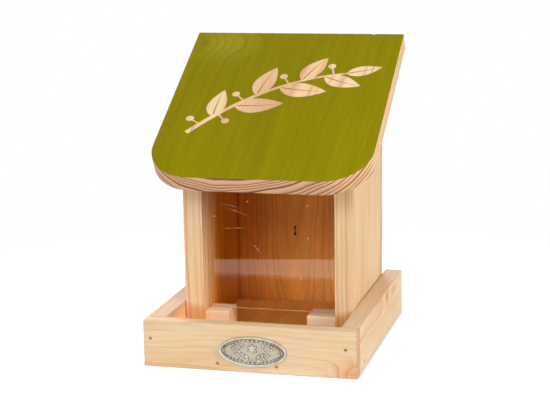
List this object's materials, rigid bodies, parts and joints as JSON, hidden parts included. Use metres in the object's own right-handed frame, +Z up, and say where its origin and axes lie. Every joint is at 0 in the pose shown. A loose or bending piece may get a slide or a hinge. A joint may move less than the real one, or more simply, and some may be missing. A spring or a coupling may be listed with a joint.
{
  "type": "bird feeder",
  "caption": "Wooden silo bird feeder: a seed house with a clear front window stands in an open tray under a hinged, sloping roof with rounded front corners.",
  "frame": {"origin": "at the feeder's foot, in the middle of its outer box", "axes": "+Z up, front of the tray towards -Y, +X to the right seen from the front"},
  "size_m": [0.179, 0.1982, 0.2447],
  "materials": {
    "pine": "planed, bare",
    "painted_pine": "olive stain on the top face, bare edges and underside",
    "acrylic": "clear sheet, polished",
    "badge_metal": "matt, aged",
    "nail_steel": "dull, zinc plated",
    "hinge_steel": "zinc plated"
  },
  "bodies": {
    "house": {"floor_board": "pine", "front_board": "pine", "left_side_board": "pine", "right_side_board": "pine", "left_wall": "pine", "right_wall": "pine", "back_board": "pine", "left_block": "pine", "right_block": "pine", "badge": "badge_metal", "badge_pins": "badge_metal", "front_end_nails": "nail_steel", "front_floor_nails": "nail_steel", "side_floor_nails": "nail_steel", "wall_floor_nails": "nail_steel", "back_board_nails": "nail_steel", "block_brads": "nail_steel", "back_staple": "nail_steel", "left_lower_leaf": "hinge_steel", "right_lower_leaf": "hinge_steel", "hinge_pins": "hinge_steel", "lower_leaf_screws": "hinge_steel"},
    "roof": {"roof_board": "painted_pine", "left_upper_leaf": "hinge_steel", "right_upper_leaf": "hinge_steel", "upper_leaf_screws": "hinge_steel"},
    "window": {"window": "acrylic"}
  },
  "joints": [
    {"name": "roof_hinge", "type": "hinge", "parent": "house", "child": "roof", "pos_m": [0, 0.0909, 0.2335], "axis": [-1, 0, 0], "range_deg": [0, 120]},
    {"name": "window_lift", "type": "slide", "parent": "house", "child": "window", "axis": [0, 0, 1], "range_m": [0, 0.12]}
  ],
  "couplings": [
    {"joint": "window_lift", "follows": "roof_hinge", "m_per_rad": 0.057}
  ]
}
